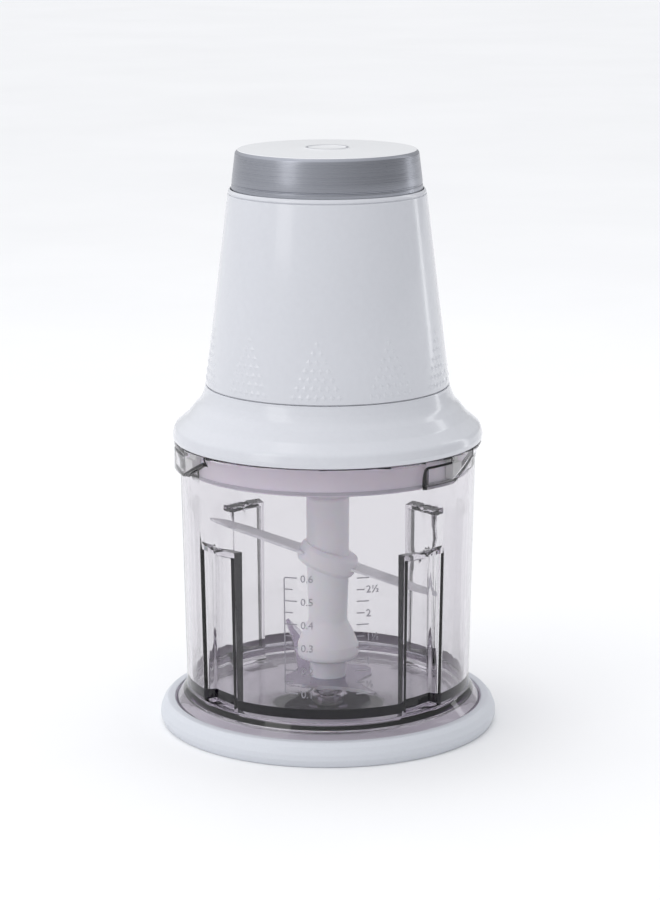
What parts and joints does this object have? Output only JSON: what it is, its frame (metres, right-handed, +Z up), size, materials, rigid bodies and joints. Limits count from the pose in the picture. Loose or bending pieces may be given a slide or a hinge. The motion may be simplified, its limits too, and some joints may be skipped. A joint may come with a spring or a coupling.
{
  "type": "mini food chopper",
  "caption": "Mini chopper: press-cap motor head locks on a clear ribbed bowl with a two-level blade, on a non-slip base.",
  "frame": {"origin": "centre of the underside, on the surface the chopper stands on", "axes": "+Z up through the cap, front with the volume scale towards -Y"},
  "size_m": [0.142, 0.142, 0.242],
  "materials": {
    "soft_base": "satin soft-touch",
    "clear_bowl": "smoke-tinted clear plastic",
    "steel_pin": "ground",
    "hub_plastic": "milky",
    "bronze": "sintered",
    "blade_steel": "satin",
    "lid_plastic": "moulded",
    "seal_rubber": "matte",
    "white_gloss": "gloss",
    "cap_metal": "brushed silver finish",
    "white_plastic": "moulded",
    "spring_steel": "drawn wire",
    "black_plastic": "moulded",
    "plated_steel": "zinc plated",
    "laminations": "stacked sheet",
    "copper": "enamelled wire",
    "brass": "pressed",
    "carbon": "sintered carbon",
    "black_rubber": "matte",
    "nylon": "moulded nylon",
    "cast_bracket": "die cast",
    "yellow_film": "dipped"
  },
  "bodies": {
    "base": {"non_slip_base": "soft_base"},
    "bowl": {"bowl": "clear_bowl", "bowl_pin": "steel_pin"},
    "blades": {"blade_hub": "hub_plastic", "hub_bushes": "bronze", "upper_blade": "blade_steel", "lower_blade": "blade_steel"},
    "lid": {"lid": "lid_plastic", "lid_seal": "seal_rubber"},
    "head": {"skirt_cover": "white_gloss", "lock_ring": "white_plastic", "motor_housing": "white_gloss", "cap_springs": "spring_steel", "switch_plate": "white_plastic", "run_switch": "black_plastic", "interlock_spring": "spring_steel", "interlock_switch": "black_plastic", "stator_core": "laminations", "field_coils": "copper", "upper_bush": "bronze", "lower_bush": "bronze", "upper_bracket": "cast_bracket", "lower_bracket": "cast_bracket", "motor_bolts": "plated_steel", "brush_holders": "brass", "carbon_brushes": "carbon", "brush_springs": "spring_steel", "rubber_ring": "black_rubber", "ring_gear": "nylon", "output_bush": "bronze", "gearbox_housing": "white_plastic", "gearbox_screws": "plated_steel", "housing_screws": "plated_steel", "cord_gland": "black_rubber", "gland_nut": "black_plastic", "capacitor": "yellow_film"},
    "cap": {"top_cap": "cap_metal", "cap_insert": "white_plastic"},
    "lever": {"switch_lever": "spring_steel"},
    "lock_pin": {"interlock_pin": "plated_steel"},
    "armature": {"armature_core": "laminations", "armature_windings": "copper", "armature_shaft": "steel_pin", "commutator": "copper", "cooling_fan": "black_plastic", "sun_pinion": "plated_steel"},
    "carrier": {"planet_carrier": "plated_steel", "planet_pins": "steel_pin", "output_shaft": "steel_pin", "drive_dog": "nylon"},
    "planet_1": {"planet_gear_1": "nylon"},
    "planet_2": {"planet_gear_2": "nylon"},
    "planet_3": {"planet_gear_3": "nylon"}
  },
  "joints": [
    {"name": "bowl_lift", "type": "slide", "parent": "base", "child": "bowl", "axis": [0, 0, 1], "range_m": [0, 0.06]},
    {"name": "lid_lift", "type": "slide", "parent": "bowl", "child": "lid", "axis": [0, 0, 1], "range_m": [0, 0.13]},
    {"name": "head_twist", "type": "hinge", "parent": "lid", "child": "head", "pos_m": [0, 0, 0.1216], "axis": [0, 0, -1], "range_deg": [0, 13]},
    {"name": "cap_press", "type": "slide", "parent": "head", "child": "cap", "axis": [0, 0, -1], "range_m": [0, 0.004], "stiffness_N_per_m": 2500, "springref_m": -0.003, "deforming": ["cap_springs"]},
    {"name": "lever_tilt", "type": "hinge", "parent": "head", "child": "lever", "pos_m": [-0.008, 0, 0.2257], "axis": [0, 1, 0], "range_deg": [0, 14.5]},
    {"name": "lock_pin_lift", "type": "slide", "parent": "head", "child": "lock_pin", "axis": [0, 0, 1], "range_m": [0, 0.0024], "deforming": ["interlock_spring"]},
    {"name": "armature_spin", "type": "hinge", "parent": "head", "child": "armature", "pos_m": [0, 0, 0.17], "axis": [0, 0, 1], "continuous": true},
    {"name": "carrier_spin", "type": "hinge", "parent": "head", "child": "carrier", "pos_m": [0, 0, 0.128], "axis": [0, 0, 1], "continuous": true},
    {"name": "planet_1_spin", "type": "hinge", "parent": "carrier", "child": "planet_1", "pos_m": [0.012, 0, 0.135], "axis": [0, 0, 1], "continuous": true},
    {"name": "planet_2_spin", "type": "hinge", "parent": "carrier", "child": "planet_2", "pos_m": [-0.006, 0.01039, 0.135], "axis": [0, 0, 1], "continuous": true},
    {"name": "planet_3_spin", "type": "hinge", "parent": "carrier", "child": "planet_3", "pos_m": [-0.006, -0.01039, 0.135], "axis": [0, 0, 1], "continuous": true},
    {"name": "blade_spin", "type": "hinge", "parent": "bowl", "child": "blades", "pos_m": [0, 0, 0.06], "axis": [0, 0, 1], "continuous": true}
  ],
  "couplings": [
    {"joint": "lever_tilt", "follows": "cap_press", "rad_per_m": 61.087},
    {"joint": "lock_pin_lift", "follows": "head_twist", "m_per_rad": 0.010137},
    {"joint": "carrier_spin", "follows": "armature_spin", "ratio": 0.2},
    {"joint": "planet_1_spin", "follows": "armature_spin", "ratio": -0.53333},
    {"joint": "planet_2_spin", "follows": "armature_spin", "ratio": -0.53333},
    {"joint": "planet_3_spin", "follows": "armature_spin", "ratio": -0.53333},
    {"joint": "blade_spin", "follows": "armature_spin", "ratio": 0.2}
  ]
}
